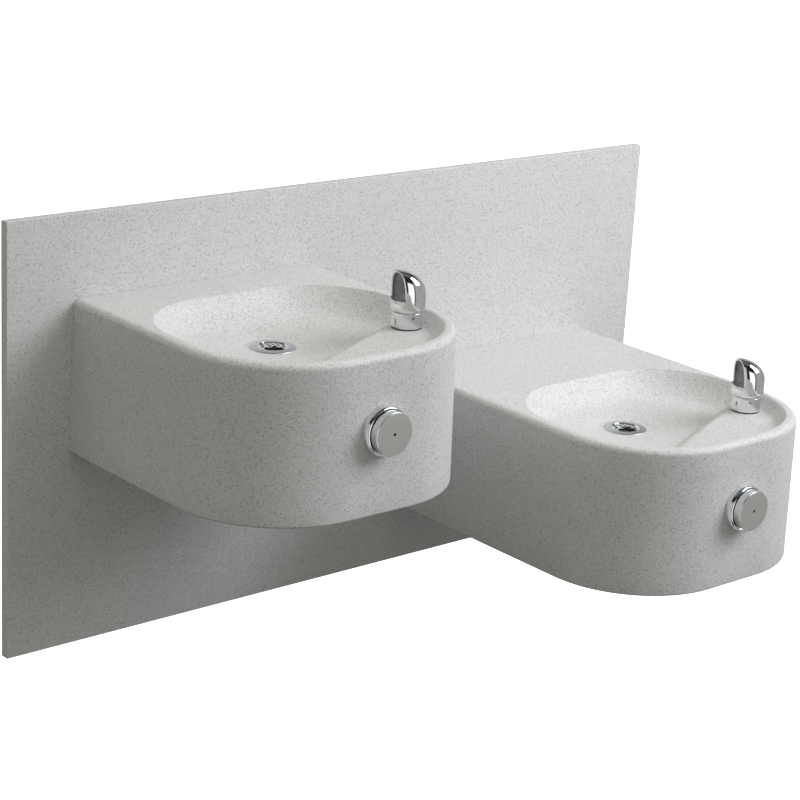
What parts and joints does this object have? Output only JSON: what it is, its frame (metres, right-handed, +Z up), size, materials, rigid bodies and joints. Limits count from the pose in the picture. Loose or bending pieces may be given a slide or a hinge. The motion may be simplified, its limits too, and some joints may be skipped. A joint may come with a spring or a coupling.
{
  "type": "drinking fountain",
  "caption": "Wall-hung high-low drinking fountain: speckled cast basins on a flat panel, each with a hooded bubbler, push button, strainer and plumbing.",
  "frame": {"origin": "centre of the panel's rear face, where it meets the wall", "axes": "+X to the user's right along the panel, -Y out of the wall towards the user, +Z up"},
  "size_m": [1.016, 0.5502, 0.5334],
  "materials": {
    "cast_resin": "matte",
    "cover_steel": "satin",
    "fastener_steel": "satin",
    "chrome": "polished",
    "satin_chrome": "satin",
    "strainer_steel": "satin",
    "brass": "satin",
    "copper": "satin",
    "black_rubber": "matte"
  },
  "bodies": {
    "fountain": {"back_panel": "cast_resin", "bubbler_locknuts": "brass", "cover_screws": "fastener_steel", "drain_locknuts": "brass", "grub_screws": "fastener_steel", "high_basin_shell": "cast_resin", "high_bottom_cover": "cover_steel", "high_bubbler_base": "chrome", "high_bubbler_gasket": "black_rubber", "high_bubbler_head": "chrome", "high_bubbler_nozzle": "brass", "high_bubbler_shank": "brass", "high_bubbler_tube": "copper", "high_button_escutcheon": "chrome", "high_button_spring": "fastener_steel", "high_drain_gasket": "black_rubber", "high_drain_strainer": "strainer_steel", "high_drain_tailpiece": "chrome", "high_feed_tube": "copper", "high_stop_valve_body": "chrome", "high_supply_tube": "copper", "high_valve_body": "brass", "high_valve_sleeve": "brass", "high_waste_arm": "chrome", "high_waste_elbow": "chrome", "low_basin_shell": "cast_resin", "low_bottom_cover": "cover_steel", "low_bubbler_base": "chrome", "low_bubbler_gasket": "black_rubber", "low_bubbler_head": "chrome", "low_bubbler_nozzle": "brass", "low_bubbler_shank": "brass", "low_bubbler_tube": "copper", "low_button_escutcheon": "chrome", "low_button_spring": "fastener_steel", "low_drain_gasket": "black_rubber", "low_drain_strainer": "strainer_steel", "low_drain_tailpiece": "chrome", "low_feed_tube": "copper", "low_stop_valve_body": "chrome", "low_supply_tube": "copper", "low_valve_body": "brass", "low_valve_sleeve": "brass", "low_waste_arm": "chrome", "low_waste_elbow": "chrome", "mounting_nuts": "fastener_steel", "mounting_studs": "fastener_steel", "mounting_washers": "fastener_steel", "slip_nuts": "chrome", "valve_locknuts": "brass"},
    "high_button": {"high_button_cap": "satin_chrome", "high_button_stem": "fastener_steel"},
    "high_poppet": {"high_valve_poppet": "brass"},
    "high_regulator": {"high_regulator_screw": "fastener_steel"},
    "high_stop": {"high_stop_stem": "brass"},
    "low_button": {"low_button_cap": "satin_chrome", "low_button_stem": "fastener_steel"},
    "low_poppet": {"low_valve_poppet": "brass"},
    "low_regulator": {"low_regulator_screw": "fastener_steel"},
    "low_stop": {"low_stop_stem": "brass"}
  },
  "joints": [
    {"name": "high_button_press", "type": "slide", "parent": "fountain", "child": "high_button", "axis": [0, 1, 0], "range_m": [0, 0.005], "stiffness_N_per_m": 1500, "springref_m": -0.004, "deforming": ["high_button_spring"]},
    {"name": "high_poppet_lift", "type": "slide", "parent": "fountain", "child": "high_poppet", "axis": [0, 1, 0], "range_m": [0, 0.005]},
    {"name": "high_regulator_turn", "type": "hinge", "parent": "high_button", "child": "high_regulator", "pos_m": [-0.2448, -0.3407, 0.08], "axis": [0, 1, 0], "range_deg": [-360, 360]},
    {"name": "high_stop_turn", "type": "hinge", "parent": "fountain", "child": "high_stop", "pos_m": [-0.1448, -0.0727, 0.046], "axis": [0, 0, 1], "range_deg": [0, 90]},
    {"name": "low_button_press", "type": "slide", "parent": "fountain", "child": "low_button", "axis": [0, 1, 0], "range_m": [0, 0.005], "stiffness_N_per_m": 1500, "springref_m": -0.004, "deforming": ["low_button_spring"]},
    {"name": "low_poppet_lift", "type": "slide", "parent": "fountain", "child": "low_poppet", "axis": [0, 1, 0], "range_m": [0, 0.005]},
    {"name": "low_regulator_turn", "type": "hinge", "parent": "low_button", "child": "low_regulator", "pos_m": [0.2448, -0.4497, -0.0729], "axis": [0, 1, 0], "range_deg": [-360, 360]},
    {"name": "low_stop_turn", "type": "hinge", "parent": "fountain", "child": "low_stop", "pos_m": [0.3448, -0.0727, -0.1069], "axis": [0, 0, 1], "range_deg": [0, 90]}
  ],
  "couplings": [
    {"joint": "high_poppet_lift", "follows": "high_button_press", "ratio": 1},
    {"joint": "low_poppet_lift", "follows": "low_button_press", "ratio": 1}
  ]
}
